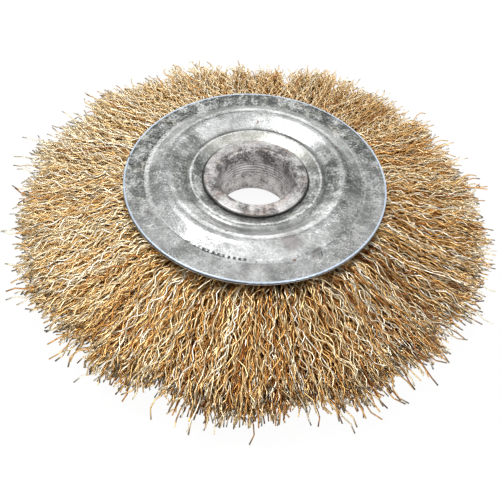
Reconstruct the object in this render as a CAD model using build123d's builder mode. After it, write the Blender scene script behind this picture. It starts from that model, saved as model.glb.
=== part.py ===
from build123d import *
import os
from math import cos, degrees, radians, sin

# Crimped wire wheel brush: two pairs of pressed plates, held by a bush with rolled ends, grip
# hanks of crimped wire that are folded over a steel anchor ring.
#
# The spin axis is +Z. The origin is the centre of the bore, on the mid-plane between the plates.
# Lengths are millimetres and angles are degrees. Sections are drawn as (radius, height).

os.makedirs("parts", exist_ok=True)

# Wire trim
brush_diameter = 125.0      # over the wire tips
trim_width = 7.0            # along the axis, over the wire tips
tip_crown = 2.5             # the middle of the tip face stands this far past its edges
swell_reach = 6.0           # from the plates' edge out to where the freed wires stand thickest
swell_rise = 0.5            # the wires there over the fill between the plates, on each side
hank_count = 24             # hanks of wire side by side round the anchor ring
tufts_per_hank = 4          # pointed tufts that the tips of one hank gather into
tuft_notch_depth = 3.5      # radial depth of the notches between tufts
tuft_notch_width = 1.6      # width of a notch at the brush's edge

# Bush
bore_diameter = 20.0        # metric arbor hole
bush_wall = 2.0
hub_width = 16.0            # over the two rolled lips
lip_thickness = 0.9         # height of a rolled lip over the plate it holds
lip_overhang = 2.1          # reach of a rolled lip past the wall of the bush
throat_radius = 1.2         # the bore flares out to the lip round this radius
lip_edge_radius = 0.6       # rounding of the lip's outer edge

# Plates
plate_diameter = 70.0
plates_width = 17.4         # over the flat rings of the front and rear plates
sheet = 0.8                 # steel sheet of the outer plates
inner_sheet = 0.8           # steel sheet of the inner plates
edge_roll_radius = 0.5      # an outer plate's outer edge is rounded by the blanking die
seat_land = 2.6             # width of the flat seat round the plate's centre hole
ridge_reach = 5.3           # from the centre hole's edge to the ridge
ridge_drop = 0.1            # corner of the ridge under the flat ring, before rounding
groove_drop = 0.8           # corner of the groove under the flat ring, before rounding
bead_inner_radius = 18.9    # foot of the bead, at the groove
bead_outer_radius = 28.7    # foot of the bead, at the flat ring
bead_apex_rise = 2.3        # the bead's flanks would meet this far over the flat ring
bead_crest_radius = 3.7
press_radius = 0.8          # small bends of the press tool
crease_radius = 0.4         # sharp crease where the bead meets the flat ring
wall_inset = 0.8            # inner plate's wall inside the outer plate's edge

# Anchor ring
anchor_wire_diameter = 3.2

# Clearances
plate_hole_clearance = 0.1  # plate's centre hole over the bush
fill_clearance = 0.2        # wire fill between the floors of the inner plates
fold_clearance = 2.5        # folds of the hanks outside the bush
anchor_clearance = 0.15     # hank round the anchor ring
hank_gap = 0.3              # between neighbouring hanks, at the tips

# Sizes that follow from those above
bore_radius = bore_diameter / 2
bush_radius = bore_radius + bush_wall
plate_hole_radius = bush_radius + plate_hole_clearance
plate_radius = plate_diameter / 2
brush_radius = brush_diameter / 2
ring_height = plates_width / 2
seat_height = hub_width / 2 - lip_thickness
bead_apex_radius = (bead_inner_radius + bead_outer_radius) / 2
inner_wall_radius = plate_radius - wall_inset - inner_sheet
inner_floor_height = seat_height - sheet
pan_wall_height = ring_height - sheet - inner_floor_height
pan_bend_radius = pan_wall_height / 2
fill_half_width = inner_floor_height - inner_sheet - fill_clearance
anchor_ring_radius = bush_radius + fold_clearance + fill_half_width
hank_pitch = 360.0 / hank_count
hank_angle = hank_pitch - degrees(hank_gap / brush_radius)

# The front half is drawn with height along +Z, and the rear half with height along -Z.
front_side = Plane.XZ
rear_side = Plane(origin=(0, 0, 0), x_dir=(1, 0, 0), z_dir=(0, 1, 0))


def export(part, name):
    """Label one finished piece and write it to its own STEP file."""
    part.label = name
    export_step(part, f"parts/{name}.step")


def outer_plate(side):
    """Side plate: seat, dish, ridge, groove, rounded bead and flat ring with a rolled edge.

    The corners follow the plate's outer skin, and the sheet's thickness lies on their inner side.
    """
    corners = [
        (plate_hole_radius, seat_height),
        (plate_hole_radius + seat_land, seat_height),
        (plate_hole_radius + ridge_reach, ring_height - ridge_drop),
        (bead_inner_radius, ring_height - groove_drop),
        (bead_apex_radius, ring_height + bead_apex_rise),
        (bead_outer_radius, ring_height),
        (plate_radius, ring_height),
    ]
    bends = [press_radius, press_radius, press_radius, bead_crest_radius, crease_radius]
    with BuildPart() as plate:
        with BuildSketch(side) as section:
            with BuildLine():
                FilletPolyline(*corners, radius=bends)
                offset(amount=sheet, side=Side.RIGHT)
            make_face()
            edge_corners = section.vertices().group_by(Axis.X)[-1]
            fillet(edge_corners.sort_by(Axis.Y)[-1], radius=edge_roll_radius)
        revolve(axis=Axis.Z)
    return plate.part


def inner_plate(side):
    """Pan under the outer plate: its floor bears on the wire and its wall holds the flat ring up."""
    corners = [
        (plate_hole_radius, inner_floor_height),
        (inner_wall_radius, inner_floor_height),
        (inner_wall_radius, inner_floor_height + pan_wall_height),
    ]
    with BuildPart() as pan:
        with BuildSketch(side):
            with BuildLine():
                FilletPolyline(*corners, radius=pan_bend_radius)
                offset(amount=inner_sheet, side=Side.RIGHT)
            make_face()
        revolve(axis=Axis.Z)
    return pan.part


def hub_bush():
    """Tube with its ends rolled outwards into flat-topped lips that clamp the plates."""
    lip_radius = bush_radius + lip_overhang
    lip_top = hub_width / 2
    with BuildPart() as bush:
        with BuildSketch(Plane.XZ) as section:
            with BuildLine():
                Polyline(
                    (bore_radius, -lip_top),
                    (bore_radius, lip_top),
                    (lip_radius, lip_top),
                    (lip_radius, seat_height),
                    (bush_radius, seat_height),
                    (bush_radius, -seat_height),
                    (lip_radius, -seat_height),
                    (lip_radius, -lip_top),
                    close=True,
                )
            make_face()
            mouth_corners = section.vertices().group_by(Axis.X)[0]
            fillet(mouth_corners, radius=throat_radius)
            lip_corners = section.vertices().group_by(Axis.X)[-1].sort_by(Axis.Y)
            fillet([lip_corners[0], lip_corners[-1]], radius=lip_edge_radius)
        revolve(axis=Axis.Z)
    return bush.part


def anchor_ring():
    """Round steel ring that the hanks are folded over."""
    with BuildPart() as ring:
        with BuildSketch(Plane.XZ):
            with Locations((anchor_ring_radius, 0)):
                Circle(anchor_wire_diameter / 2)
        revolve(axis=Axis.Z)
    return ring.part


def wire_hank(start_angle):
    """One hank: a sector of wire folded over the anchor ring, its two legs side by side.

    Between the plates it is squeezed flat, past them it swells, and it thins towards the tips.
    """
    turn = radians(start_angle)
    radial = Plane(origin=(0, 0, 0), x_dir=(cos(turn), sin(turn), 0), z_dir=(sin(turn), -cos(turn), 0))
    edge_radius = brush_radius - tip_crown
    upper_side = [
        (anchor_ring_radius, fill_half_width),
        (plate_radius, fill_half_width),
        (plate_radius + swell_reach, fill_half_width + swell_rise),
        (edge_radius, trim_width / 2),
    ]
    lower_side = [(radius, -height) for radius, height in upper_side]
    notch_spacing = hank_angle / tufts_per_hank
    with BuildPart() as hank:
        with BuildSketch(radial):
            with BuildLine():
                ThreePointArc(lower_side[0], (anchor_ring_radius - fill_half_width, 0), upper_side[0])
                Polyline(*upper_side)
                ThreePointArc(upper_side[-1], (brush_radius, 0), lower_side[-1])
                Polyline(*lower_side)
            make_face()
            with Locations((anchor_ring_radius, 0)):
                Circle(anchor_wire_diameter / 2 + anchor_clearance, mode=Mode.SUBTRACT)
        revolve(axis=Axis.Z, revolution_arc=hank_angle)
        with BuildSketch(Plane.XY):
            for notch in range(1, tufts_per_hank):
                with BuildLine(Plane.XY.rotated((0, 0, start_angle + notch * notch_spacing))):
                    Polyline(
                        (brush_radius - tuft_notch_depth, 0),
                        (brush_radius + tuft_notch_depth, tuft_notch_width),
                        (brush_radius + tuft_notch_depth, -tuft_notch_width),
                        close=True,
                    )
                make_face()
        extrude(amount=hub_width, both=True, mode=Mode.SUBTRACT)
    return hank.part


export(outer_plate(front_side), "front_plate")
export(outer_plate(rear_side), "rear_plate")
export(inner_plate(front_side), "front_inner_plate")
export(inner_plate(rear_side), "rear_inner_plate")
export(hub_bush(), "hub_bush")
export(anchor_ring(), "anchor_ring")
for index in range(hank_count):
    export(wire_hank(index * hank_pitch), f"wire_hank_{index + 1:02d}")
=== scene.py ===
# %% [markdown]
# # A crimped wire wheel brush
#
# A wire wheel is clamped on the spindle of a bench grinder or an angle grinder. Thousands of
# springy, crimped wires are folded over a steel ring, squeezed between pressed plates, and held
# by a bush whose ends are rolled over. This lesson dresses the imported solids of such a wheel:
# the plates and the bush keep their solids and get worn zinc and steel, and every hank of wire
# is built again, wire by wire.

import bpy
import numpy as np
from mathutils import Matrix, Vector


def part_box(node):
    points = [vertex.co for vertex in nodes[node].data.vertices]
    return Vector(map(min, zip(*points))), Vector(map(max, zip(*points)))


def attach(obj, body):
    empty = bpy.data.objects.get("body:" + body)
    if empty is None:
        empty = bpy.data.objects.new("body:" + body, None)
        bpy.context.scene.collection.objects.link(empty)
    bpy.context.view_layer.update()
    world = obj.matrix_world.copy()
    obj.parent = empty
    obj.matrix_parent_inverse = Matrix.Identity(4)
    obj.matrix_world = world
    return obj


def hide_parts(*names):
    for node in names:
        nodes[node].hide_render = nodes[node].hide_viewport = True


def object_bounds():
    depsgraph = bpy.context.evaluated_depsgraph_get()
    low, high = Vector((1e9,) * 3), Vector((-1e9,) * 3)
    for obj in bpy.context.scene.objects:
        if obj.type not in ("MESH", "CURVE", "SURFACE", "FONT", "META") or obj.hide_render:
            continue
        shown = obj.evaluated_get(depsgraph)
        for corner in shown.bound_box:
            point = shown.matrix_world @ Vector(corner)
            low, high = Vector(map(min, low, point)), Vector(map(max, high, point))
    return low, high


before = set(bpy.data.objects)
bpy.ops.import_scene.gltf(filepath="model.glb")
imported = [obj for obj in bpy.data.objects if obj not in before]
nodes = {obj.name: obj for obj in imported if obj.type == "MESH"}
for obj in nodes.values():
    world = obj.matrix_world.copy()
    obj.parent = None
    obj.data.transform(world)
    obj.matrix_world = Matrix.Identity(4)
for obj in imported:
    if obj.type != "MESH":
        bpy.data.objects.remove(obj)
cad_low, cad_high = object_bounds()
print("nodes:", len(nodes), "size in mm:", [round(1000 * side, 1) for side in cad_high - cad_low])

# %% [markdown]
# ## Sizes
#
# The plates' and the brush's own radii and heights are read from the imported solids, so what is
# built here can't drift from them. Only what the solids don't hold, such as the gauge of one
# wire and the height of one crimp, is written down, where it is first needed.

# %% Sizes in metres, from the solids
MM = 0.001
PLATE_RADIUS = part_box("front_plate")[1].x
PLATE_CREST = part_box("front_plate")[1].z
PAN_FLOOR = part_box("front_inner_plate")[0].z
BRUSH_RADIUS = cad_high.x
ANCHOR_WIRE_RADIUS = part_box("anchor_ring")[1].z
ANCHOR_RING_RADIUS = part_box("anchor_ring")[1].x - ANCHOR_WIRE_RADIUS
FLOOR_HEIGHT = cad_low.z
HANKS = sorted(name for name in nodes if name.startswith("wire_hank"))
print("plate radius %.1f mm, brush radius %.1f mm, %d hanks of wire"
      % (PLATE_RADIUS / MM, BRUSH_RADIUS / MM, len(HANKS)))

# %% [markdown]
# ## Camera
#
# The wheel lies flat and is seen from the near side and above, from close by, so the far half
# looks much smaller than the near half. A camera could be aimed with a constraint, but its own
# right, up and forward directions say the same thing in three lines and also give the slight
# tilt of the picture.

# %% The camera
CAMERA_DISTANCE = 136.5 * MM        # from the middle of the upper rim
CAMERA_ELEVATION = np.radians(44.4)
CAMERA_PITCH = np.radians(53.05)
CAMERA_ROLL = np.radians(4.49)
CAMERA_LENS = 36.36                 # in millimetres, for the sensor width below
SENSOR_WIDTH = 36.0
NEAREST_SEEN = 10 * MM
RIM_CENTRE_HEIGHT = 8.7 * MM


def look_matrix(place, pitch, roll):
    """Camera matrix that looks along +Y and down by the pitch, turned round its sight line by the roll."""
    forward = np.array([0.0, np.cos(pitch), -np.sin(pitch)])
    level_up = np.array([0.0, np.sin(pitch), np.cos(pitch)])
    level_right = np.array([1.0, 0.0, 0.0])
    right = np.cos(roll) * level_right + np.sin(roll) * level_up
    up = np.cos(roll) * level_up - np.sin(roll) * level_right
    turned = Matrix([list(row) for row in np.column_stack([right, up, -forward])])
    return Matrix.Translation(place) @ turned.to_4x4()


camera_data = bpy.data.cameras.new("camera")
camera_data.lens = CAMERA_LENS
camera_data.sensor_width = SENSOR_WIDTH
camera_data.clip_start = NEAREST_SEEN
camera = bpy.data.objects.new("camera", camera_data)
bpy.context.scene.collection.objects.link(camera)
camera_place = Vector((
    0.0,
    -CAMERA_DISTANCE * np.cos(CAMERA_ELEVATION),
    RIM_CENTRE_HEIGHT + CAMERA_DISTANCE * np.sin(CAMERA_ELEVATION),
))
camera.matrix_world = look_matrix(camera_place, CAMERA_PITCH, CAMERA_ROLL)
bpy.context.scene.camera = camera
print("camera at", [round(value / MM) for value in camera_place], "mm")

# %% [markdown]
# ## Helpers for materials
#
# A material is a small graph of nodes. Building one by hand in code soon gets long, so a few
# helpers carry the weight. The first turns a colour as it is written in a paint program into the
# linear values Blender mixes. The second adds a node of any kind with its settings and its
# links, and the others each add one node, or two, that every finish here needs.


# %% Colour, node and material
def linear(code):
    """sRGB hex colour to linear RGBA: each channel c becomes ((c + 0.055) / 1.055) to the power 2.4,
    or c / 12.92 where it is very dark."""
    channels = np.array([int(code[i:i + 2], 16) for i in (0, 2, 4)]) / 255.0
    curved = ((channels + 0.055) / 1.055) ** 2.4
    return (*np.where(channels <= 0.04045, channels / 12.92, curved), 1.0)


def add(tree, kind, links=(), inputs=(), **settings):
    """Add one node. links pairs an input with another node's output, inputs pairs one with a value."""
    node = tree.nodes.new(kind)
    for name, value in settings.items():
        setattr(node, name, value)
    for name, value in dict(inputs).items():
        node.inputs[name].default_value = value
    for name, output in dict(links).items():
        tree.links.new(output, node.inputs[name])
    return node


def new_material(name):
    """Material with a Principled shader and nothing else: the material, its tree and the shader."""
    material = bpy.data.materials.new(name)
    material.use_nodes = True
    tree = material.node_tree
    return material, tree, tree.nodes["Principled BSDF"]


print("mid grey 808080 is", round(linear("808080")[0], 3), "in linear light")


# %% Numbers and colours inside a graph
def fill(tree, socket, value):
    """Put a number, a hex colour or another node's output into an input."""
    if isinstance(value, str):
        socket.default_value = linear(value)
    elif isinstance(value, (int, float)):
        socket.default_value = value
    else:
        tree.links.new(value, socket)


def arithmetic(tree, operation, first, second=0.0):
    """One arithmetic step on one or two values or numbers."""
    node = add(tree, "ShaderNodeMath", operation=operation)
    fill(tree, node.inputs[0], first)
    fill(tree, node.inputs[1], second)
    return node.outputs["Value"]


def multiply(tree, value, *others):
    """Product of values, from left to right."""
    for other in others:
        value = arithmetic(tree, "MULTIPLY", value, other)
    return value


def highest(tree, value, *others):
    """The highest of some values."""
    for other in others:
        value = arithmetic(tree, "MAXIMUM", value, other)
    return value


def scaled(tree, value, factor, offset=0.0):
    """A value times a factor, plus an offset."""
    return arithmetic(tree, "ADD", arithmetic(tree, "MULTIPLY", value, factor), offset)


def fade(tree, value, start, end, low=0.0, high=1.0):
    """Smooth step of a value: low before start, high after end."""
    node = add(tree, "ShaderNodeMapRange", {"Value": value},
               {"From Min": start, "From Max": end, "To Min": low, "To Max": high},
               interpolation_type="SMOOTHSTEP")
    return node.outputs["Result"]


def band(tree, value, centre, half_width, softness):
    """1 where the value lies within a band, fading to 0 over the softness on both sides."""
    away = arithmetic(tree, "ABSOLUTE", arithmetic(tree, "SUBTRACT", value, centre))
    return fade(tree, away, half_width, half_width + softness, 1.0, 0.0)


def ramp(tree, factor, stops):
    """Colour ramp over (position, hex colour) stops. Used as a number, a grey is its linear value."""
    node = add(tree, "ShaderNodeValToRGB", {"Fac": factor})
    while len(node.color_ramp.elements) < len(stops):
        node.color_ramp.elements.new(1.0)
    for element, (position, code) in zip(node.color_ramp.elements, stops):
        element.position = position
        element.color = linear(code)
    return node.outputs["Color"]


def mix(tree, factor, first, second, blend="MIX"):
    """Blend two colours, each an output or a hex colour. The node's colours are its inputs 6 and 7."""
    node = add(tree, "ShaderNodeMix", data_type="RGBA", blend_type=blend)
    for number, value in ((0, factor), (6, first), (7, second)):
        fill(tree, node.inputs[number], value)
    return node.outputs[2]


def noise(tree, place, scale, detail, roughness):
    """Noise about 0.5. The scale is in blotches per metre, and the detail adds finer octaves."""
    node = add(tree, "ShaderNodeTexNoise", {"Vector": place},
               {"Scale": scale, "Detail": detail, "Roughness": roughness})
    return node.outputs["Fac"]


print("helpers: fill, arithmetic, multiply, highest, scaled, fade, band, ramp, mix, noise")


# %% Where a point lies on the wheel
def object_place(tree):
    """The point's position in metres. Every object here sits at the origin, so it is the wheel's own."""
    return add(tree, "ShaderNodeTexCoord").outputs["Object"]


def coordinate(tree, place, axis):
    """One coordinate of a position."""
    return add(tree, "ShaderNodeSeparateXYZ", {"Vector": place}).outputs[axis]


def axis_distance(tree, place):
    """Distance from the Z axis in millimetres: 1000 times the root of x squared plus y squared."""
    flat = add(tree, "ShaderNodeVectorMath", {0: place}, {1: (1.0, 1.0, 0.0)}, operation="MULTIPLY")
    length = add(tree, "ShaderNodeVectorMath", {0: flat.outputs["Vector"]}, operation="LENGTH")
    return multiply(tree, length.outputs["Value"], 1000.0)


def turn_share(tree, place):
    """Turn round the wheel's axis, from 0 to 1: 0 and 1 at -x, 0.25 at -y, 0.5 at +x, 0.75 at +y."""
    angle = arithmetic(tree, "ARCTAN2", coordinate(tree, place, "Y"), coordinate(tree, place, "X"))
    return scaled(tree, angle, 0.5 / np.pi, 0.5)


def mottling(tree, place):
    """Blotches of 3 mm, flecks of 0.6 mm and a grain of 0.3 mm added together, 0.5 on average."""
    blotches = scaled(tree, noise(tree, place, 300.0, 4.0, 0.6), 0.85)
    flecks = scaled(tree, noise(tree, place, 1600.0, 2.0, 0.5), 0.60)
    grain = scaled(tree, noise(tree, place, 3800.0, 1.0, 0.5), 0.50, -0.48)
    return arithmetic(tree, "ADD", arithmetic(tree, "ADD", blotches, flecks), grain)


print("a turn of 0.25 is the near side, and of 0.75 the far side")

# %% [markdown]
# ## Zinc-plated pressed steel
#
# The side plates are stamped from thin sheet and zinc plated. Zinc is a pale, slightly blue grey
# that takes a soft shine where the press tool polished it, on the raised bead, and goes dull and
# blotchy, with grey-green stains, where it lies flat or low. A texture map would need painting,
# but every mark here depends on how far it is from the axis and on which side of the wheel it
# is, so that distance and that turn drive the whole material. Each function below adds one kind
# of mark to the colour: stains, painted shade, painted highlights and marks of use.

# %% Zones of the plate, as distances from the axis in millimetres
SEAT_MM = 14.6          # painted shade lies between the lip and the dish
RIDGE_MM = 17.45        # a painted highlight runs along it
GROOVE_MM = 18.9        # painted shade and stains lie in and beside the groove inside the bead
CREASE_MM = 28.8        # the press tool's edge left a crease, with a painted highlight along it
ROLL_MM = 34.35         # the rolled edge begins here
EDGE_MM = 34.88         # and the cut edge here
print("zones in mm:", SEAT_MM, RIDGE_MM, GROOVE_MM, CREASE_MM, ROLL_MM, EDGE_MM)

# %% Clean and stained zinc
CLEAN_ZINC = [(0.34, "8c8d8c"), (0.46, "b5b6b5"), (0.54, "cacbcb"), (0.68, "e0e1e1")]
STAINED_ZINC = [(0.36, "2a2f2c"), (0.445, "505551"), (0.515, "7c7e7c"), (0.58, "a6a8a6"), (0.68, "d8d9d9")]
STAIN_TINT = [(0.36, "c4c9b2"), (0.47, "e6e6e2"), (0.55, "f2f2f4"), (0.66, "dccfb8")]

# How stained each zone is, by turn round the axis. Black is clean and white is stained.
RING_STAIN = [(0.0, "ffffff"), (0.12, "bcbcbc"), (0.25, "686868"), (0.40, "b0b0b0"), (0.60, "ffffff")]
# The groove's ramp also sets how strong the painted shade on the bead's inner flank is.
GROOVE_STAIN_AND_SHADE = [(0.0, "ffffff"), (0.10, "c0c0c0"), (0.2, "404040"), (0.32, "404040"), (0.42, "c0c0c0"),
                (0.52, "ffffff"), (0.60, "606060"), (0.66, "000000"), (0.80, "000000"), (0.88, "303030"),
                (0.94, "d0d0d0"), (1.0, "ffffff")]
FLANK_STAIN = [(0.0, "b0b0b0"), (0.10, "808080"), (0.20, "202020"), (0.30, "101010"), (0.42, "707070"),
               (0.52, "c0c0c0"), (0.62, "e0e0e0"), (0.76, "d8d8d8"), (0.88, "f0f0f0"), (1.0, "b0b0b0")]
DISH_STAIN = [(0.0, "f8f8f8"), (0.2, "f4f4f4"), (0.42, "f4f4f4"), (0.52, "ececec"), (0.60, "c0c0c0"),
              (0.68, "909090"), (0.82, "909090"), (0.90, "c0c0c0"), (0.96, "f8f8f8")]


def stained_zinc(tree, place, radius, turn, mottle):
    """Colour, and how stained it is: the highest of the flat ring, the groove, the bead's outer
    flank, the dish and some stray patches. Where the dish isn't stained it is cream."""
    clouds = noise(tree, place, 140.0, 4.0, 0.55)
    cloudy = arithmetic(tree, "ADD", scaled(tree, clouds, 0.7), scaled(tree, mottle, 0.3))
    clean = ramp(tree, cloudy, CLEAN_ZINC)
    tint = ramp(tree, noise(tree, place, 190.0, 3.0, 0.6), STAIN_TINT)
    stain = mix(tree, 0.6, ramp(tree, mottle, STAINED_ZINC), tint, "MULTIPLY")

    ring = fade(tree, radius, CREASE_MM - 0.3, CREASE_MM + 0.2)
    ring = multiply(tree, ring, ramp(tree, turn, RING_STAIN))
    groove = band(tree, radius, GROOVE_MM + 1.2, 1.2, 2.6)
    groove = multiply(tree, groove, ramp(tree, turn, GROOVE_STAIN_AND_SHADE))
    flank = band(tree, radius, CREASE_MM - 1.6, 1.1, 1.6)
    flank = multiply(tree, flank, ramp(tree, turn, FLANK_STAIN))
    dish = fade(tree, radius, RIDGE_MM + 0.9, RIDGE_MM + 0.4)
    stained_dish = multiply(tree, dish, ramp(tree, turn, DISH_STAIN))
    patches = fade(tree, clouds, 0.52, 0.68, 0.0, 0.55)
    stained = highest(tree, ring, groove, flank, stained_dish, patches)
    colour = mix(tree, stained, clean, stain)
    cream = arithmetic(tree, "SUBTRACT", dish, stained_dish)
    return mix(tree, scaled(tree, cream, 0.5), colour, "c6c4b4"), stained


print("zinc goes from", STAINED_ZINC[0][1], "to", CLEAN_ZINC[-1][1])

# %% Painted shade in the groove, on the bead's flanks and under the lip
# How strong the painted shade on the bead's outer flank is, by turn.
FLANK_PAINTED_SHADE = [(0.0, "6c6c6c"), (0.10, "505050"), (0.20, "000000"), (0.33, "000000"), (0.42, "b4b4b4"),
              (0.50, "ffffff"), (0.56, "e4e4e4"), (0.64, "707070"), (0.76, "808080"), (0.86, "e4e4e4"),
              (1.0, "6c6c6c")]


def add_painted_shade(tree, colour, radius, turn, mottle):
    """The colour with painted shade in the groove and round the lip, and on both flanks of the bead,
    thicker where the mottling is low, and a nearly black painted shadow in the crevice under the lip."""
    # Painted shade in the groove inside the bead and on the seat round the lip.
    groove = scaled(tree, band(tree, radius, GROOVE_MM - 0.2, 0.15, 0.9), 0.45)
    seat = scaled(tree, fade(tree, radius, SEAT_MM + 0.4, SEAT_MM - 0.5), 0.8)
    colour = mix(tree, highest(tree, groove, seat), colour, "4a4d45")
    # Painted shade, as dark reflections, on the bead's inner and outer flanks, mottled.
    inner = multiply(tree, band(tree, radius, GROOVE_MM + 1.7, 0.9, 1.6), ramp(tree, turn, GROOVE_STAIN_AND_SHADE),
                     fade(tree, mottle, 0.40, 0.60, 0.8, 0.25))
    outer = multiply(tree, band(tree, radius, CREASE_MM - 2.5, 2.2, 1.2), ramp(tree, turn, FLANK_PAINTED_SHADE),
                     fade(tree, mottle, 0.42, 0.60, 1.0, 0.6))
    colour = mix(tree, highest(tree, inner, outer), colour, "4d524b")
    # Painted shadow: the crevice under the lip is nearly black.
    crevice = scaled(tree, fade(tree, radius, SEAT_MM + 0.1, SEAT_MM - 0.2), 0.9)
    return mix(tree, crevice, colour, "161715")


# The outer flank's darkening is painted shade.
print("the outer flank is dirtiest at a turn of", max(FLANK_PAINTED_SHADE, key=lambda stop: stop[1])[0])

# %% Painted highlights on the crease and the ridge, and dents painted in shade
TEETH_PER_TURN = 140    # the press tool left a short row of dents this close in the crease
TEETH_TURN = 0.215      # middle of that row, by turn
TEETH_HALF_TURN = 0.028

# How strong the crease's painted highlight is and how dented it is, by turn. The dents are painted shade.
CREASE_BRIGHT = [(0.0, "d8d8d8"), (0.08, "909090"), (0.16, "303030"), (0.22, "b0b0b0"), (0.29, "b0b0b0"),
                 (0.34, "202020"), (0.46, "808080"), (0.56, "989898"), (0.66, "202020"), (0.84, "202020"),
                 (0.92, "b0b0b0"), (1.0, "d8d8d8")]
CREASE_DENTED = [(0.12, "000000"), (0.17, "e0e0e0"), (0.23, "c0c0c0"), (0.27, "303030"), (0.33, "c0c0c0"),
                 (0.44, "a0a0a0"), (0.50, "202020")]


def highlit_and_dented(tree, colour, place, radius, turn):
    """The colour with painted highlights along broken lines on the crease and the ridge, and dents and
    a row of teeth in the crease, painted dark as shade, the teeth a sine of the turn. Also where the
    painted highlights are."""
    # Painted highlights: broken bright lines on the crease and the ridge.
    broken = fade(tree, noise(tree, place, 1500.0, 2.0, 0.6), 0.36, 0.52)
    crease = multiply(tree, band(tree, radius, CREASE_MM + 0.1, 0.35, 0.5), broken,
                      ramp(tree, turn, CREASE_BRIGHT))
    ridge = multiply(tree, scaled(tree, band(tree, radius, RIDGE_MM, 0.10, 0.35), 0.6), broken)
    bright = highest(tree, crease, ridge)
    colour = mix(tree, bright, colour, "f2f3f3")

    # Painted shade: dents and a row of teeth drawn dark in the crease.
    dents = multiply(tree, fade(tree, noise(tree, place, 900.0, 1.0, 0.5), 0.46, 0.51),
                     band(tree, radius, CREASE_MM, 0.26, 0.3), ramp(tree, turn, CREASE_DENTED))
    colour = mix(tree, dents, colour, "1e2021")
    wave = arithmetic(tree, "SINE", scaled(tree, turn, 2 * np.pi * TEETH_PER_TURN))
    row = scaled(tree, band(tree, turn, TEETH_TURN, TEETH_HALF_TURN, 0.012), 0.9)
    teeth = multiply(tree, fade(tree, wave, -0.4, 0.3),
                     band(tree, radius, CREASE_MM - 0.1, 0.22, 0.25), row)
    return mix(tree, teeth, colour, "26282a"), bright


print("teeth in the row:", round(2 * TEETH_HALF_TURN * TEETH_PER_TURN))

# %% The plate's edge
BURR_HEIGHT_MM = 8.08   # below this the cut edge shows its torn, paler part
ROLL_WIDENING = 6.0     # the painted highlight on the roll begins this many millimetres further in, per metre behind


def edged(tree, colour, place, radius):
    """The colour with a bluish painted highlight along the rolled edge, wider behind, the dark cut
    edge and its paler torn part. Also where that painted highlight is."""
    height = scaled(tree, arithmetic(tree, "ABSOLUTE", coordinate(tree, place, "Z")), 1000.0)
    # Painted highlight: a bluish bright band along the rolled edge, wider on the far side.
    behind = scaled(tree, coordinate(tree, place, "Y"), ROLL_WIDENING)
    roll = fade(tree, arithmetic(tree, "ADD", radius, behind), ROLL_MM - 0.1, ROLL_MM + 0.15)
    roll = scaled(tree, roll, 0.9)
    colour = mix(tree, roll, colour, "bccbdd")
    cut = fade(tree, radius, EDGE_MM - 0.05, EDGE_MM + 0.03)
    colour = mix(tree, cut, colour, "3d444b")
    burr = multiply(tree, cut, fade(tree, height, BURR_HEIGHT_MM, BURR_HEIGHT_MM - 0.06))
    return mix(tree, burr, colour, "d9d2cc"), roll


print("the roll is", round(EDGE_MM - ROLL_MM, 2), "mm wide")

# %% Marks of use
# x, y, length and width in millimetres, turn in degrees, colour and strength.
MARKS = [
    (9.6, -23.2, 6.0, 4.6, 0.0, "8e8683", 0.5),         # brown stain on the bead
    (10.6, -27.6, 0.8, 0.7, 0.0, "7a4a2c", 0.9),        # rust
    (15.0, -26.0, 0.6, 0.5, 0.0, "8a5a3a", 0.9),
    (-6.0, -21.6, 1.1, 0.7, 30.0, "4a4a4a", 0.9),       # knocks
    (17.0, -25.0, 1.6, 0.35, 110.0, "26262a", 0.95),
    (11.5, 22.0, 2.2, 0.4, 20.0, "5c5a58", 0.8),
    (15.5, 19.5, 1.8, 0.5, 140.0, "6a6866", 0.8),
    (-24.5, -20.5, 2.6, 0.30, 25.0, "f4f4f4", 0.8),     # scratches
    (-26.0, -18.6, 1.8, 0.25, 30.0, "f0f0f0", 0.6),
    (-29.5, 8.0, 3.0, 0.25, 160.0, "e8e8e8", 0.5),
    (-34.6, 3.0, 1.8, 0.8, 85.0, "23272c", 0.9),        # nick in the edge
    (-15.6, 1.5, 8.0, 2.6, 85.0, "474c46", 0.6),        # dirt in the dish
]
MARK_DEPTH = 5.0 * MM   # how far below the plate's crest a mark still shows


def mark(tree, place, x, y, length, width, turned):
    """1 inside a ragged oval on the plate's top, 0 outside it: the length of the position after
    scaling the oval to a unit ball, plus noise, faded out at about 1."""
    oval = add(tree, "ShaderNodeMapping", {"Vector": place}, {
        "Location": (x * MM, y * MM, PLATE_CREST), "Rotation": (0.0, 0.0, np.radians(turned)),
        "Scale": (length / 2 * MM, width / 2 * MM, MARK_DEPTH)}, vector_type="TEXTURE")
    away = add(tree, "ShaderNodeVectorMath", {0: oval.outputs["Vector"]}, operation="LENGTH")
    ragged = scaled(tree, noise(tree, place, 1500.0, 3.0, 0.6), 1.2, -0.6)
    return fade(tree, arithmetic(tree, "ADD", away.outputs["Value"], ragged), 0.7, 1.1, 1.0, 0.0)


def marked(tree, colour, place):
    """The colour with the marks, a few rust spots, and hair scratches along the crests of a noise
    stretched ninefold. Also where the scratches are."""
    for x, y, length, width, turned, code, strength in MARKS:
        shape = mark(tree, place, x, y, length, width, turned)
        colour = mix(tree, scaled(tree, shape, strength), colour, code)
    rust = fade(tree, noise(tree, place, 620.0, 2.0, 0.4), 0.755, 0.79)
    colour = mix(tree, scaled(tree, rust, 0.8), colour, "6b4a35")
    stretched = add(tree, "ShaderNodeMapping", {"Vector": place},
                    {"Scale": (1.0, 9.0, 1.0), "Rotation": (0.0, 0.0, 0.9)})
    hair = noise(tree, stretched.outputs["Vector"], 260.0, 5.0, 0.7)
    scratch = band(tree, hair, 0.5, 0.003, 0.008)
    return mix(tree, scaled(tree, scratch, 0.3), colour, "eceeee"), scratch


print("marks of use:", len(MARKS))

# %% The whole zinc finish
BUMP = {"Strength": 0.5, "Distance": 0.15 * MM}


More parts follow.
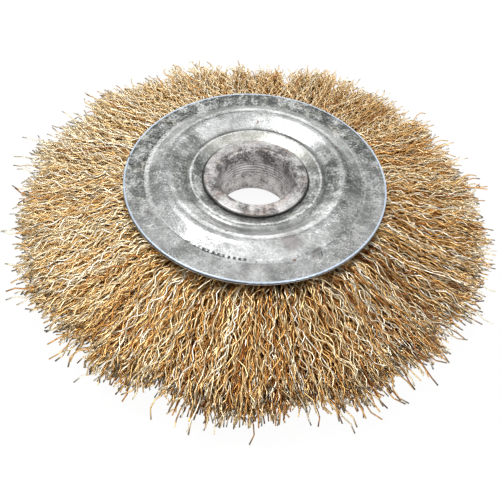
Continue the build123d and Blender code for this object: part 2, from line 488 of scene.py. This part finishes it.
def zinc_material():
    """Satin zinc: stains are rougher and more pitted, and the painted highlights on the crease, the ridge
    and the roll less metallic.
    """
    material, tree, shader = new_material("zinc_plated_pressed_steel")
    place = object_place(tree)
    radius, turn, mottle = axis_distance(tree, place), turn_share(tree, place), mottling(tree, place)
    colour, stained = stained_zinc(tree, place, radius, turn, mottle)
    colour = add_painted_shade(tree, colour, radius, turn, mottle)
    colour, bright = highlit_and_dented(tree, colour, place, radius, turn)
    colour, roll = edged(tree, colour, place, radius)
    colour, scratch = marked(tree, colour, place)

    rough = arithmetic(tree, "ADD", scaled(tree, stained, 0.20, 0.16), scaled(tree, mottle, 0.06))
    pits = multiply(tree, mottle, scaled(tree, stained, 0.85, 0.15))
    relief = arithmetic(tree, "ADD", pits, scaled(tree, scratch, -0.25))
    bump = add(tree, "ShaderNodeBump", {"Height": relief}, BUMP)
    pale = highest(tree, bright, scaled(tree, roll, 0.8))
    metallic = multiply(tree, fade(tree, stained, 0.0, 1.0, 0.85, 0.7),
                        fade(tree, pale, 0.0, 1.0, 1.0, 0.25))
    tree.links.new(colour, shader.inputs["Base Color"])
    tree.links.new(rough, shader.inputs["Roughness"])
    tree.links.new(metallic, shader.inputs["Metallic"])
    tree.links.new(bump.outputs["Normal"], shader.inputs["Normal"])
    return material


def dress(material, *names):
    """Give CAD nodes a material in every one of their slots."""
    for name in names:
        for slot in nodes[name].material_slots:
            slot.material = material
    print(material.name, "on", ", ".join(names), "with", len(material.node_tree.nodes), "graph nodes")


dress(zinc_material(), "front_plate", "rear_plate", "front_inner_plate", "rear_inner_plate")

# %% [markdown]
# ## Turned steel
#
# The bush is a length of steel tube, bored on a lathe, whose ends are rolled over in a press. The
# lathe leaves rings in the bore about a millimetre apart, and handling leaves the lip grey with
# a touch of brown. The rings could be cut into the mesh, but they are far too shallow to change
# its outline, and rings round an axis are simply a wave along Z in the material.

# %% Zones of the bush, in millimetres
BORE_WALL_MM = 10.1     # inside this radius the lathe's marks show
LIP_EDGE_MM = 13.6      # the lip turns down past this radius
FOOT_MM = 7.45          # the lip's side is painted in shadow below this height
print("zones in mm:", BORE_WALL_MM, LIP_EDGE_MM, FOOT_MM)

# %% The lip
LIP_STEEL = [(0.36, "6a6866"), (0.45, "b4b1af"), (0.52, "dedcda"), (0.64, "f5f3f1")]
LIP_RINGS = 9.0         # radians of the rings' wave per millimetre

# How much darker the lip is, by turn.
LIP_DARKENING = [(0.0, "d0d0d0"), (0.10, "b0b0b0"), (0.18, "080808"), (0.32, "080808"), (0.42, "c8c8c8"),
            (0.50, "f0f0f0"), (0.56, "e0e0e0"), (0.66, "b4b4b4"), (0.76, "bcbcbc"), (0.84, "c0c0c0"),
            (0.95, "d8d8d8")]


def lip_colour(tree, place, radius, height, tone):
    """Cloudy grey with darker patches, faint turned rings, which are a wave along the radius, and
    a touch of brown. Painted shade darkens its outer foot and the mouth of the bore, and a painted shadow
    makes the crevice under the lip darkest."""
    clouds = noise(tree, place, 330.0, 3.0, 0.5)
    cloudy = arithmetic(tree, "ADD", scaled(tree, clouds, 0.6), scaled(tree, tone, 0.4))
    patchy = fade(tree, tone, 0.42, 0.60, 1.0, 0.5)
    darkening = multiply(tree, ramp(tree, turn_share(tree, place), LIP_DARKENING), patchy)
    lip = mix(tree, darkening, ramp(tree, cloudy, LIP_STEEL), "484644")
    wandering = arithmetic(tree, "ADD", radius, scaled(tree, tone, 1.2))
    rings = arithmetic(tree, "SINE", scaled(tree, wandering, LIP_RINGS))
    lip = mix(tree, fade(tree, rings, 0.3, 1.0, 0.0, 0.30), lip, "565350")
    brown = fade(tree, noise(tree, place, 230.0, 3.0, 0.5), 0.50, 0.64)
    lip = mix(tree, scaled(tree, brown, 0.30), lip, "b08f80")

    # Painted shade on the lip's outer foot and at the mouth of the bore.
    foot = fade(tree, radius, LIP_EDGE_MM, LIP_EDGE_MM + 0.45)
    mouth = multiply(tree, fade(tree, radius, BORE_WALL_MM + 1.4, BORE_WALL_MM + 0.7),
                     fade(tree, tone, 0.38, 0.62, 0.85, 0.25))
    lip = mix(tree, highest(tree, scaled(tree, foot, 0.6), mouth), lip, "4b4845")
    # Painted shadow in the crevice under the lip, nearly black.
    above = arithmetic(tree, "ABSOLUTE", height)
    crevice = multiply(tree, foot, fade(tree, above, FOOT_MM, FOOT_MM - 0.2, 0.0, 0.9))
    return mix(tree, crevice, lip, "161514")


print("rings on the lip are", round(2 * np.pi / LIP_RINGS, 1), "mm apart")

# %% The bore
# The bore's steel is paler than the lip's: painted light inside the bore.
BORE_STEEL = [(0.34, "8a8683"), (0.44, "ccc7c4"), (0.54, "e9e5e3"), (0.68, "fbfaf9")]
BORE_RINGS = 6.28       # radians of the lathe's wave per millimetre


def bore_colour(tree, place, height, tone):
    """Steel painted paler than the lip, as painted light in the bore, with the lathe's rings, which
    are a wave along the axis that wanders a little and is strongest just above the middle, and a
    darker upper end. Also where the rings are."""
    wander = scaled(tree, noise(tree, place, 90.0, 2.0, 0.5), 1.5)
    wave = arithmetic(tree, "SINE", scaled(tree, arithmetic(tree, "ADD", height, wander), BORE_RINGS))
    rings = multiply(tree, wave, band(tree, height, 1.2, 1.2, 2.5))
    wall = mix(tree, fade(tree, rings, 0.1, 1.0, 0.0, 0.85), ramp(tree, tone, BORE_STEEL), "5c5855")
    ragged_height = arithmetic(tree, "ADD", height, scaled(tree, tone, 3.0, -1.5))
    upper = multiply(tree, fade(tree, ragged_height, 2.6, 3.8), fade(tree, tone, 0.40, 0.60, 1.0, 0.45))
    return mix(tree, upper, wall, "555353"), rings


print("rings in the bore are", round(2 * np.pi / BORE_RINGS, 1), "mm apart")


# %% The whole bush
def turned_steel_material():
    """Dull steel: the lip's colour outside the bore, and the rings in relief inside it."""
    material, tree, shader = new_material("turned_steel")
    place = object_place(tree)
    radius, tone = axis_distance(tree, place), mottling(tree, place)
    height = scaled(tree, coordinate(tree, place, "Z"), 1000.0)
    lip = lip_colour(tree, place, radius, height, tone)
    wall, rings = bore_colour(tree, place, height, tone)
    in_bore = fade(tree, radius, BORE_WALL_MM + 0.3, BORE_WALL_MM)

    relief = arithmetic(tree, "ADD", multiply(tree, scaled(tree, rings, 0.5), in_bore), tone)
    bump = add(tree, "ShaderNodeBump", {"Height": relief}, BUMP)
    tree.links.new(mix(tree, in_bore, lip, wall), shader.inputs["Base Color"])
    tree.links.new(scaled(tree, tone, 0.25, 0.20), shader.inputs["Roughness"])
    tree.links.new(fade(tree, in_bore, 0.0, 1.0, 0.55, 0.15), shader.inputs["Metallic"])
    tree.links.new(bump.outputs["Normal"], shader.inputs["Normal"])
    return material


dress(turned_steel_material(), "hub_bush")

# %% [markdown]
# ## The hidden anchor ring
#
# The ring that the wires are folded over is plain drawn rod. Nothing of it shows once the wires
# are on, so an even grey with faint specks is all it needs.


# %% Drawn steel rod
def drawn_steel_material():
    """Drawn steel rod: an even grey with faint specks."""
    material, tree, shader = new_material("drawn_steel_rod")
    specks = noise(tree, object_place(tree), 1500.0, 3.0, 0.6)
    tree.links.new(ramp(tree, specks, [(0.3, "6a6a6a"), (0.7, "8d8d8c")]), shader.inputs["Base Color"])
    tree.links.new(fade(tree, specks, 0.2, 0.8, 0.3, 0.5), shader.inputs["Roughness"])
    shader.inputs["Metallic"].default_value = 1.0
    return material


dress(drawn_steel_material(), "anchor_ring")

# %% [markdown]
# ## Brass-coated crimped wire
#
# The wires are hard steel with a thin coat of brass from drawing, so they are golden where the
# coat is whole, browner where it is thin, and dark grey at the cut ends. Each wire is a little
# different from its neighbours. Painting that with noise would smear over the borders of the
# wires, so each wire carries its own numbers as mesh attributes: a tone, and how bare each of its
# points is, which is most at the tip. The tone also holds painted light, paler on some sides of the
# wheel, and painted shade on wires deep in the trim.

# %% Brass-coated wire
BRASS = [(0.05, "6e4626"), (0.16, "b0723a"), (0.32, "daa55c"), (0.50, "f0cb8e"), (0.72, "f9e7c1"),
         (0.95, "fdf6e6")]
BARE_FROM = 0.45        # up to this value of the attribute the coat looks whole
BARE_FULLY = 0.95       # and from this one it is nearly gone


def wire_material():
    """Brass that goes by 0.8 of the wire's tone plus 0.25 of a wear noise, and bare, dark tips."""
    material, tree, shader = new_material("brass_coated_crimped_wire")
    tone = add(tree, "ShaderNodeAttribute", attribute_name="tone").outputs["Fac"]
    tip = add(tree, "ShaderNodeAttribute", attribute_name="tip").outputs["Fac"]
    wear = noise(tree, object_place(tree), 700.0, 3.0, 0.6)
    shade = arithmetic(tree, "ADD", multiply(tree, tone, 0.8), multiply(tree, wear, 0.25))
    bare = fade(tree, tip, BARE_FROM, BARE_FULLY, 0.0, 0.85)
    tree.links.new(mix(tree, bare, ramp(tree, shade, BRASS), "38342f"), shader.inputs["Base Color"])
    tree.links.new(fade(tree, wear, 0.3, 0.7, 0.13, 0.26), shader.inputs["Roughness"])
    shader.inputs["Metallic"].default_value = 0.85
    return material


wire_finish = wire_material()
print(wire_finish.name, "with", len(wire_finish.node_tree.nodes), "graph nodes")

# %% [markdown]
# ## The wires
#
# One wire end starts at the fold on the inner side of the anchor ring, wraps over the ring, runs
# out between the plates, and then waves all the way to its tip, where its hank gathers into four
# pointed tufts. Curves with a bevel could make it, but seven thousand curve objects are slow, so
# all the wires of a hank are worked out at once as arrays: first the middle lines, with one row
# for each wire, then a three-sided tube round every line. Three sides are enough for a wire a
# third of a millimetre thick.

# %% Where the wires of a hank sit
WIRES_PER_HANK = 300
TUFTS_PER_HANK = 4
HANK_TURN = 2 * np.pi / len(HANKS)


def wire_places(hank, random):
    """Each wire's azimuth, evenly spread with a jitter, its layer from -1 at the bottom of the trim
    to 1 at its top, its tuft, and how far it lies to the side of the tuft's middle at the edge."""
    count = WIRES_PER_HANK
    azimuth = (hank + (np.arange(count) + random.random(count)) / count) * HANK_TURN
    layer = 2.0 * (random.permutation(count) + random.random(count)) / count - 1.0
    in_tufts = (azimuth / HANK_TURN - hank) * TUFTS_PER_HANK
    off_middle = (in_tufts % 1.0 - 0.5) * HANK_TURN / TUFTS_PER_HANK * BRUSH_RADIUS
    return azimuth, layer, np.floor(in_tufts).astype(int), off_middle


def facing(azimuth, side):
    """1 for wires that point to a side, falling with the cosine to 0 a quarter turn away from it."""
    return np.clip(np.cos(azimuth - side), 0.0, 1.0)


print("wire ends:", WIRES_PER_HANK * len(HANKS), "in", TUFTS_PER_HANK * len(HANKS), "tufts")

# %% Where the wires end
EVEN_REACH = 0.9 * MM           # an even wire ends at most this far past the brush's edge
EVEN_SPREAD = 2.4 * MM          # and this much short of that, or less, for two wires in three
STRAY_SHARE = 0.18              # of the wires stand out as strays
STRAY_REACH = 2.0 * MM          # on average
MOST_STRAY = 5.5 * MM
OUTER_LAYER_SHORTER = 3.5 * MM
WORN_LENGTH = 4.0 * MM          # the side that was used most is worn back
WORN_SIDE = np.radians(97.0)
WORN_SPREAD = np.radians(32.0)


def tip_radii(azimuth, layer, random):
    """Radius of the tips: an even edge less a normal spread, plus an exponential reach for strays,
    less the layer squared, and less a bell curve round the worn side."""
    count = len(azimuth)
    worn = WORN_LENGTH * np.exp(-((azimuth - WORN_SIDE) / WORN_SPREAD) ** 2)
    even = BRUSH_RADIUS + EVEN_REACH - np.abs(random.normal(0.0, EVEN_SPREAD, count))
    stray = np.where(random.random(count) < STRAY_SHARE, random.exponential(STRAY_REACH, count), 0.0)
    return even + np.minimum(stray, MOST_STRAY) - OUTER_LAYER_SHORTER * layer ** 2 - worn


print("worn back by up to", round(WORN_LENGTH / MM, 1), "mm at the far side")

# %% The fold over the anchor ring
FOLD_ANGLES = np.radians([0.0, 45.0, 90.0])
FOLD_GAP = 0.35 * MM            # from the ring to the middle of the nearest wire
LEG_DEPTH = PAN_FLOOR - ANCHOR_WIRE_RADIUS - 0.7 * MM   # from the nearest wire to the furthest


def fold_stations(layer):
    """Radius and height of the fold's stations: a quarter circle round the anchor ring's section,
    from the fold's middle to the ring's top or bottom, wider for the outer layers."""
    leg = np.where(layer >= 0, 1.0, -1.0)
    wrap = (ANCHOR_WIRE_RADIUS + FOLD_GAP + np.abs(layer) * LEG_DEPTH)[:, None]
    return ANCHOR_RING_RADIUS - wrap * np.cos(FOLD_ANGLES), leg[:, None] * wrap * np.sin(FOLD_ANGLES)


print("leg depth %.1f mm" % (LEG_DEPTH / MM))

# %% The free length
ENTRY_RADIUS = PLATE_RADIUS - 2.0 * MM  # the crimps begin here, under the plates' edge
ENTRY_HALF_DEPTH = PAN_FLOOR - 0.6 * MM
SWELL_HEIGHT = 1.4 * MM                 # the wires stand this much higher where they come free
SWELL_RADIUS = PLATE_RADIUS + 3.5 * MM
SWELL_SPREAD = 5.0 * MM
TIP_SQUEEZE = 0.55                      # depth of the trim at the tips over its depth at the entry
TIP_SCATTER = 0.7 * MM

TUFT_REACH = 1.1 * MM                   # spread of the tufts' lengths
TUFT_GATHER = 0.85                      # share of the way to the tuft's middle at the tips
TUFT_LEAN = np.radians(4.5)             # spread of the tufts' leans to the side
WIRE_LEAN = np.radians(7.0)             # and of the wires' own
WIRE_BOW = np.radians(24.0)
MOST_BOW = np.radians(48.0)

# On the worn side the tufts stand apart: their lengths differ more and the leans less, by these shares.
WORN_TUFT_REACH = 0.8
WORN_TUFT_LEAN = 0.35
WORN_WIRE_LEAN = 0.6

QUARTER_WAVES = 17
FIRST_QUARTER = 0.15                    # the first quarter wave has at least this share of its length


def free_stations(azimuth, layer, tuft, off_middle, random):
    """Radius, sideways place, height and share of the free length at each of its stations.

    Radius: entry + run * cos(lean). Sideways: run * sin(lean), plus a bow of free length *
    tan(angle) * share * (1 - share) squared, less the gathering, which is a part of the way to
    the tuft's middle * share squared. Height: from the entry's to the tip's, plus a bell curve
    where the trim swells."""
    count = len(azimuth)
    worn = facing(azimuth, WORN_SIDE)
    tuft_reach = random.normal(0.0, TUFT_REACH, TUFTS_PER_HANK)
    reached = tip_radii(azimuth, layer, random) + tuft_reach[tuft] * (1.0 + WORN_TUFT_REACH * worn)
    free = (reached - ENTRY_RADIUS)[:, None]
    first = random.uniform(FIRST_QUARTER, 1.0, count)[:, None]
    steps = np.clip(np.arange(QUARTER_WAVES + 1)[None, :] - 1.0 + first, 0.0, None)
    share = steps / steps[:, -1:]
    run = share * free

    tuft_lean = random.normal(0.0, TUFT_LEAN, TUFTS_PER_HANK)[tuft] * (1.0 - WORN_TUFT_LEAN * worn)
    lean = tuft_lean + random.normal(0.0, WIRE_LEAN, count) * (1.0 - WORN_WIRE_LEAN * worn)
    bow = np.clip(random.normal(0.0, WIRE_BOW, count), -MOST_BOW, MOST_BOW)
    sideways = run * np.sin(lean)[:, None] + free * np.tan(bow)[:, None] * share * (1.0 - share) ** 2
    sideways -= TUFT_GATHER * off_middle[:, None] * share ** 2
    radius = ENTRY_RADIUS + run * np.cos(lean)[:, None]

    entry_height = layer[:, None] * ENTRY_HALF_DEPTH
    tip_height = entry_height * TIP_SQUEEZE + random.normal(0.0, TIP_SCATTER, count)[:, None]
    swell = layer[:, None] * SWELL_HEIGHT * np.exp(-((radius - SWELL_RADIUS) / SWELL_SPREAD) ** 2)
    return radius, sideways, entry_height + (tip_height - entry_height) * share + swell, share


print("stations on a wire:", len(FOLD_ANGLES) + QUARTER_WAVES + 1)

# %% The crimp
CRIMP_HEIGHT = 0.66 * MM
CRIMP_SPREAD = (0.75, 1.2)              # a wire's own height over that one, at least and at most
CRIMP_AT_ENTRY = 0.35                   # share of its height under the plates, where it is squeezed
CRIMP_GROWTH = 5.0                      # it has its whole height after about an eighth of the length
CRIMP_UPRIGHT = 0.8                     # share of it that is left up and down


def crimp(share, random):
    """Sideways and upward offsets of a flat wave: crimp height * root 2 * sin(wave), in a plane turned
    by chance. There is one station in each quarter turn of the wave, half-way between a crest and
    a crossing, so the crests stay round."""
    count, stations = share.shape
    start = random.integers(0, 4, count)[:, None]
    wave = np.sin((np.arange(stations)[None, :] + start + 0.5) * np.pi / 2) * np.sqrt(2.0)
    grow = np.clip(CRIMP_AT_ENTRY + CRIMP_GROWTH * share, 0.0, 1.0)
    swing = CRIMP_HEIGHT * random.uniform(*CRIMP_SPREAD, count)[:, None] * grow * wave
    plane = random.uniform(0.0, np.pi, count)[:, None]
    return swing * np.cos(plane), swing * np.sin(plane) * CRIMP_UPRIGHT


print("crimp height %.2f mm" % (CRIMP_HEIGHT / MM))


# %% Middle lines
def wire_lines(hank, random):
    """Middle lines of the wires of one hank, shaped (wires, stations, 3), with their azimuths, layers
    and shares. A point is radius times outward, plus sideways times across, at its height."""
    azimuth, layer, tuft, off_middle = wire_places(hank, random)
    fold_radius, fold_height = fold_stations(layer)
    radius, sideways, height, share = free_stations(azimuth, layer, tuft, off_middle, random)
    crimp_sideways, crimp_upward = crimp(share, random)
    none = np.zeros(fold_radius.shape)
    radius = np.concatenate([fold_radius, radius], axis=1)
    sideways = np.concatenate([none, sideways + crimp_sideways], axis=1)
    height = np.concatenate([fold_height, height + crimp_upward], axis=1)
    cosine, sine = np.cos(azimuth)[:, None], np.sin(azimuth)[:, None]
    lines = np.stack([radius * cosine - sideways * sine, radius * sine + sideways * cosine, height], axis=2)
    return lines, azimuth, layer, np.concatenate([none, share], axis=1)


print("one hank turns by %.0f degrees" % np.degrees(HANK_TURN))

# %% Tone and bare tips
COAT = 0.59                     # tone of the brass, from 0, brown, to 1, pale
SIDE_WAVE = 0.06                # how much it changes round the wheel, once and twice a turn, as painted light
PALE_SIDE = np.radians(90.0)
PALE_TWICE_SIDE = np.radians(-20.0)
# Painted light: the brass is paler on the near-left, which looks lit brighter.
LIT_PALER_SIDE = np.radians(220.0)
BARE_AND_SHADED_SIDE = np.radians(320.0)
LIT_SIDE_PALER = 0.07
BARE_AND_SHADED_PALER = 0.05
TONE_SPREAD = (0.20, 0.14)      # between the wires, and what is added to it on the bare and shaded side
BURIED_DARKER = (0.10, 0.85)    # the same for the painted shade on wires deep in the trim
TIPS_LESS_SHADED = 0.85             # share of that painted shade that is gone at the tips
BARE_AND_SHADED_BARER = 0.13              # bareness added to the wires of the bare and shaded side
DARK_TIP_SIDE = np.radians(285.0)
TIP_BARENESS = np.array([0.45, 1.2])    # at the last two stations
MOST_BARENESS = 1.4


def wire_tones(azimuth, layer, along, random):
    """Tone and bareness, each shaped (wires, stations). Tone: the coat's waves round the wheel and its
    paler near-left, which are painted light, plus a normal spread, less a painted shade that grows
    with depth in the trim and fades with the share of the length squared. Bareness: even along the
    wire, higher at its last two stations."""
    bare_and_shaded_side = facing(azimuth, BARE_AND_SHADED_SIDE)
    # Painted light: the coat's waves and the paler near-left stand in for how brightly each side is lit.
    coat = COAT + SIDE_WAVE * np.cos(azimuth - PALE_SIDE)
    coat += SIDE_WAVE * np.cos(2 * (azimuth - PALE_TWICE_SIDE))
    coat += LIT_SIDE_PALER * facing(azimuth, LIT_PALER_SIDE) + BARE_AND_SHADED_PALER * bare_and_shaded_side
    # Painted shade: wires deep in the trim are darker, most on the bare and shaded side.
    depth = 1.0 - np.abs(layer)
    buried = (depth * (BURIED_DARKER[0] + BURIED_DARKER[1] * bare_and_shaded_side))[:, None]
    spread = TONE_SPREAD[0] + TONE_SPREAD[1] * bare_and_shaded_side
    tone = random.normal(coat, spread, len(azimuth))[:, None] - buried * (1.0 - TIPS_LESS_SHADED * along ** 2)

    bareness = (BARE_FROM + BARE_AND_SHADED_BARER * bare_and_shaded_side)[:, None] * np.ones(along.shape[1])
    tip = random.uniform(0.0, MOST_BARENESS, len(azimuth)) * (0.6 + 0.5 * facing(azimuth, DARK_TIP_SIDE))
    bareness[:, -2:] = np.clip(TIP_BARENESS[None, :] * tip[:, None], bareness[:, -2:], 1.0)
    return np.clip(tone, 0.0, 1.0), bareness


print("tone of the brass:", COAT, "with a spread of", TONE_SPREAD[0])

# %% Tubes along many paths at once
TUBE_SIDES = 3


def tube_frame(lines):
    """Side and lift of a tube at each station: side is across the wire in the plane of the wheel, made
    square to the wire, and lift is square to both."""
    along = np.gradient(lines, axis=1)
    along /= np.linalg.norm(along, axis=2, keepdims=True)
    outward = lines[:, -1, :] * np.array([1.0, 1.0, 0.0])
    outward /= np.linalg.norm(outward, axis=1, keepdims=True)
    across = np.cross([0.0, 0.0, 1.0], outward)[:, None, :]
    side = across - (across * along).sum(2, keepdims=True) * along
    side /= np.linalg.norm(side, axis=2, keepdims=True)
    return side, np.cross(along, side)


def tube_mesh(name, lines, radii, sides, attributes):
    """Tubes round middle lines shaped (wires, stations, 3). A ring point is the line's point plus
    radius times (cos a times side + sin a times lift). Faces are quads between neighbouring rings
    and a cap at each end. Radii and attributes are shaped (wires, stations)."""
    wires, stations = lines.shape[:2]
    side, lift = tube_frame(lines)
    angles = np.arange(sides) * 2 * np.pi / sides
    ring = (np.cos(angles)[:, None] * side[:, :, None, :] + np.sin(angles)[:, None] * lift[:, :, None, :])
    points = lines[:, :, None, :] + radii[:, :, None, None] * ring

    number = np.arange(wires * stations * sides).reshape(wires, stations, sides)
    turned = np.roll(number, -1, axis=2)
    quads = np.stack([number[:, :-1], turned[:, :-1], turned[:, 1:], number[:, 1:]], axis=-1).reshape(-1)
    caps = np.concatenate([number[:, 0, ::-1].reshape(-1), number[:, -1, :].reshape(-1)])
    quad_count, cap_count = len(quads) // 4, 2 * wires
    starts = np.concatenate([np.arange(quad_count) * 4, 4 * quad_count + np.arange(cap_count) * sides])

    mesh = bpy.data.meshes.new(name)
    mesh.vertices.add(points.size // 3)
    mesh.vertices.foreach_set("co", points.astype(np.float32).reshape(-1))
    mesh.loops.add(len(quads) + len(caps))
    mesh.loops.foreach_set("vertex_index", np.concatenate([quads, caps]).astype(np.int32))
    mesh.polygons.add(quad_count + cap_count)
    mesh.polygons.foreach_set("loop_start", starts.astype(np.int32))
    mesh.polygons.foreach_set("use_smooth", np.ones(quad_count + cap_count, bool))
    for key, values in attributes.items():
        attribute = mesh.attributes.new(key, "FLOAT", "POINT")
        attribute.data.foreach_set("value", np.repeat(values.reshape(-1), sides).astype(np.float32))
    mesh.update(calc_edges=True)
    piece = bpy.data.objects.new(name, mesh)
    bpy.context.scene.collection.objects.link(piece)
    return piece


print("faces of one wire:", TUBE_SIDES * (len(FOLD_ANGLES) + QUARTER_WAVES) + 2)

# %% Build every hank
WIRE_RADIUS = 0.185 * MM
WIRE_GAUGES = (0.92, 1.12)      # a wire's own radius over that, at least and at most
FIRST_SEED = 4100

faces = triangles = 0
for index, node in enumerate(HANKS):
    maker = np.random.default_rng(FIRST_SEED + index)
    middle, azimuth, layer, along = wire_lines(index, maker)
    tone, bareness = wire_tones(azimuth, layer, along, maker)
    gauge = WIRE_RADIUS * maker.uniform(*WIRE_GAUGES, len(middle))[:, None] * np.ones(middle.shape[1])
    piece = tube_mesh("crimped_wires_%02d" % (index + 1), middle, gauge, TUBE_SIDES,
                      {"tone": tone, "tip": bareness})
    piece.data.materials.append(wire_finish)
    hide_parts(node)
    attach(piece, "root")
    faces += len(piece.data.polygons)
    triangles += len(piece.data.loops) - 2 * len(piece.data.polygons)
print("hanks:", len(HANKS), "faces:", faces, "triangles:", triangles)

# %% [markdown]
# ## Floor
#
# The wheel lies on a plain white table. A plane with a white material would go grey away from the
# lamps, so the camera is shown a nearly white surface that still darkens a little where the wheel
# shades it, while the wheel itself is lit by a matt white one.

# %% The floor
FLOOR_HALF = 1.5                # metres
FLOOR_WHITE_SHARE = 0.93        # of plain white in what the camera sees
WHITE = {"Color": (1.0, 1.0, 1.0, 1.0), "Strength": 1.0}

floor_mesh = bpy.data.meshes.new("floor")
floor_mesh.from_pydata(
    [(-FLOOR_HALF, -FLOOR_HALF, FLOOR_HEIGHT), (FLOOR_HALF, -FLOOR_HALF, FLOOR_HEIGHT),
     (FLOOR_HALF, FLOOR_HALF, FLOOR_HEIGHT), (-FLOOR_HALF, FLOOR_HALF, FLOOR_HEIGHT)], [], [(0, 1, 2, 3)])
floor = bpy.data.objects.new("floor", floor_mesh)
bpy.context.scene.collection.objects.link(floor)


def floor_material():
    """Matt white table. Camera rays see it mixed with plain white, which leaves only a faint shadow."""
    material = bpy.data.materials.new("matt_white_table")
    material.use_nodes = True
    tree = material.node_tree
    tree.nodes.clear()
    matt = add(tree, "ShaderNodeBsdfDiffuse", inputs={"Color": linear("f2f2f2")})
    white = add(tree, "ShaderNodeEmission", inputs=WHITE)
    rays = add(tree, "ShaderNodeLightPath")
    share = multiply(tree, rays.outputs["Is Camera Ray"], FLOOR_WHITE_SHARE)
    both = add(tree, "ShaderNodeMixShader", {0: share, 1: matt.outputs[0], 2: white.outputs[0]})
    add(tree, "ShaderNodeOutputMaterial", {"Surface": both.outputs[0]})
    return material


floor.data.materials.append(floor_material())
print("floor at %.1f mm" % (FLOOR_HEIGHT / MM))

# %% [markdown]
# ## Room light
#
# Metal shows what it mirrors, so the room matters more than the lamps. It is pale at the table's
# level, dimmest two thirds of the way up, which is what the flat rings mirror, and white overhead,
# so that the plates show their shape. A picture of a studio could light it, but a ramp by height
# and a few fades by direction are enough and need no file.

# %% The world
# Brightness of the room by the height of the direction, from level to straight up.
ROOM = [(0.0, "d0d0d0"), (0.12, "c0c0c0"), (0.26, "acacac"), (0.45, "b6b6b6"), (0.60, "a0a0a0"),
        (0.69, "727272"), (0.82, "fcfcfc"), (1.0, "ffffff")]

# And by its side: what the fade goes by, where it starts and ends, and the strengths there.
ROOM_SIDES = [
    ("X", -0.6, 0.1, 1.58, 1.10),       # left
    ("X", 0.42, 0.75, 1.0, 2.2),        # right
    ("Y", -0.8, 0.0, 1.6, 1.0),         # near
    ("Y", 0.72, 0.90, 1.0, 4.2),        # straight behind the wheel
    ("X + Y", -1.2, -0.6, 0.4, 1.0),    # the near left is dimmer
]


def studio_world():
    """Room light: the ramp by height times the product of the fades by side. Camera and transmission
    rays see plain white instead, so the picture's ground stays white."""
    world = bpy.data.worlds.new("studio")
    world.use_nodes = True
    tree = world.node_tree
    tree.nodes.clear()
    direction = add(tree, "ShaderNodeTexCoord").outputs["Generated"]
    towards = {axis: coordinate(tree, direction, axis) for axis in "XYZ"}
    towards["X + Y"] = arithmetic(tree, "ADD", towards["X"], towards["Y"])
    strength = multiply(tree, *[fade(tree, towards[way], *levels) for way, *levels in ROOM_SIDES])
    colour = ramp(tree, towards["Z"], ROOM)
    room = add(tree, "ShaderNodeBackground", {"Color": colour, "Strength": strength})
    backdrop = add(tree, "ShaderNodeBackground", inputs=WHITE)
    rays = add(tree, "ShaderNodeLightPath")
    straight = highest(tree, rays.outputs["Is Camera Ray"], rays.outputs["Is Transmission Ray"])
    both = add(tree, "ShaderNodeMixShader", {0: straight, 1: room.outputs[0], 2: backdrop.outputs[0]})
    add(tree, "ShaderNodeOutputWorld", {"Surface": both.outputs[0]})
    return world


bpy.context.scene.world = studio_world()
print("fades by side in the room:", len(ROOM_SIDES))

# %% [markdown]
# ## Lamps
#
# One large soft lamp would light all this too, but leave every wire the same. Three small ones,
# one overhead to the left and one at each near corner, draw the bright patches on the bead and
# the glints on the wires.

# %% Lamps
LAMP_SIZE = 0.25        # metres

# Name, place in metres and radiance.
LAMPS = [
    ("softbox_overhead_left", (-0.200, 0.035, 0.55), 6.0),
    ("softbox_near_right", (0.50, -0.42, 0.42), 7.0),
    ("softbox_near_left", (-0.42, -0.50, 0.36), 3.0),
]


def soft_lamp(name, place, radiance):
    """Square area lamp aimed at the wheel. Its power is radiance times pi times its area."""
    data = bpy.data.lights.new(name, "AREA")
    data.shape = "SQUARE"
    data.size = LAMP_SIZE
    data.energy = radiance * np.pi * LAMP_SIZE ** 2
    lamp = bpy.data.objects.new(name, data)
    lamp.location = place
    lamp.rotation_mode = "QUATERNION"
    lamp.rotation_quaternion = (-Vector(place)).to_track_quat("-Z", "Y")
    bpy.context.scene.collection.objects.link(lamp)
    print(name, "%.2f W" % data.energy)


for name, place, radiance in LAMPS:
    soft_lamp(name, place, radiance)

# %% View transform
bpy.context.scene.view_settings.view_transform = "Standard"
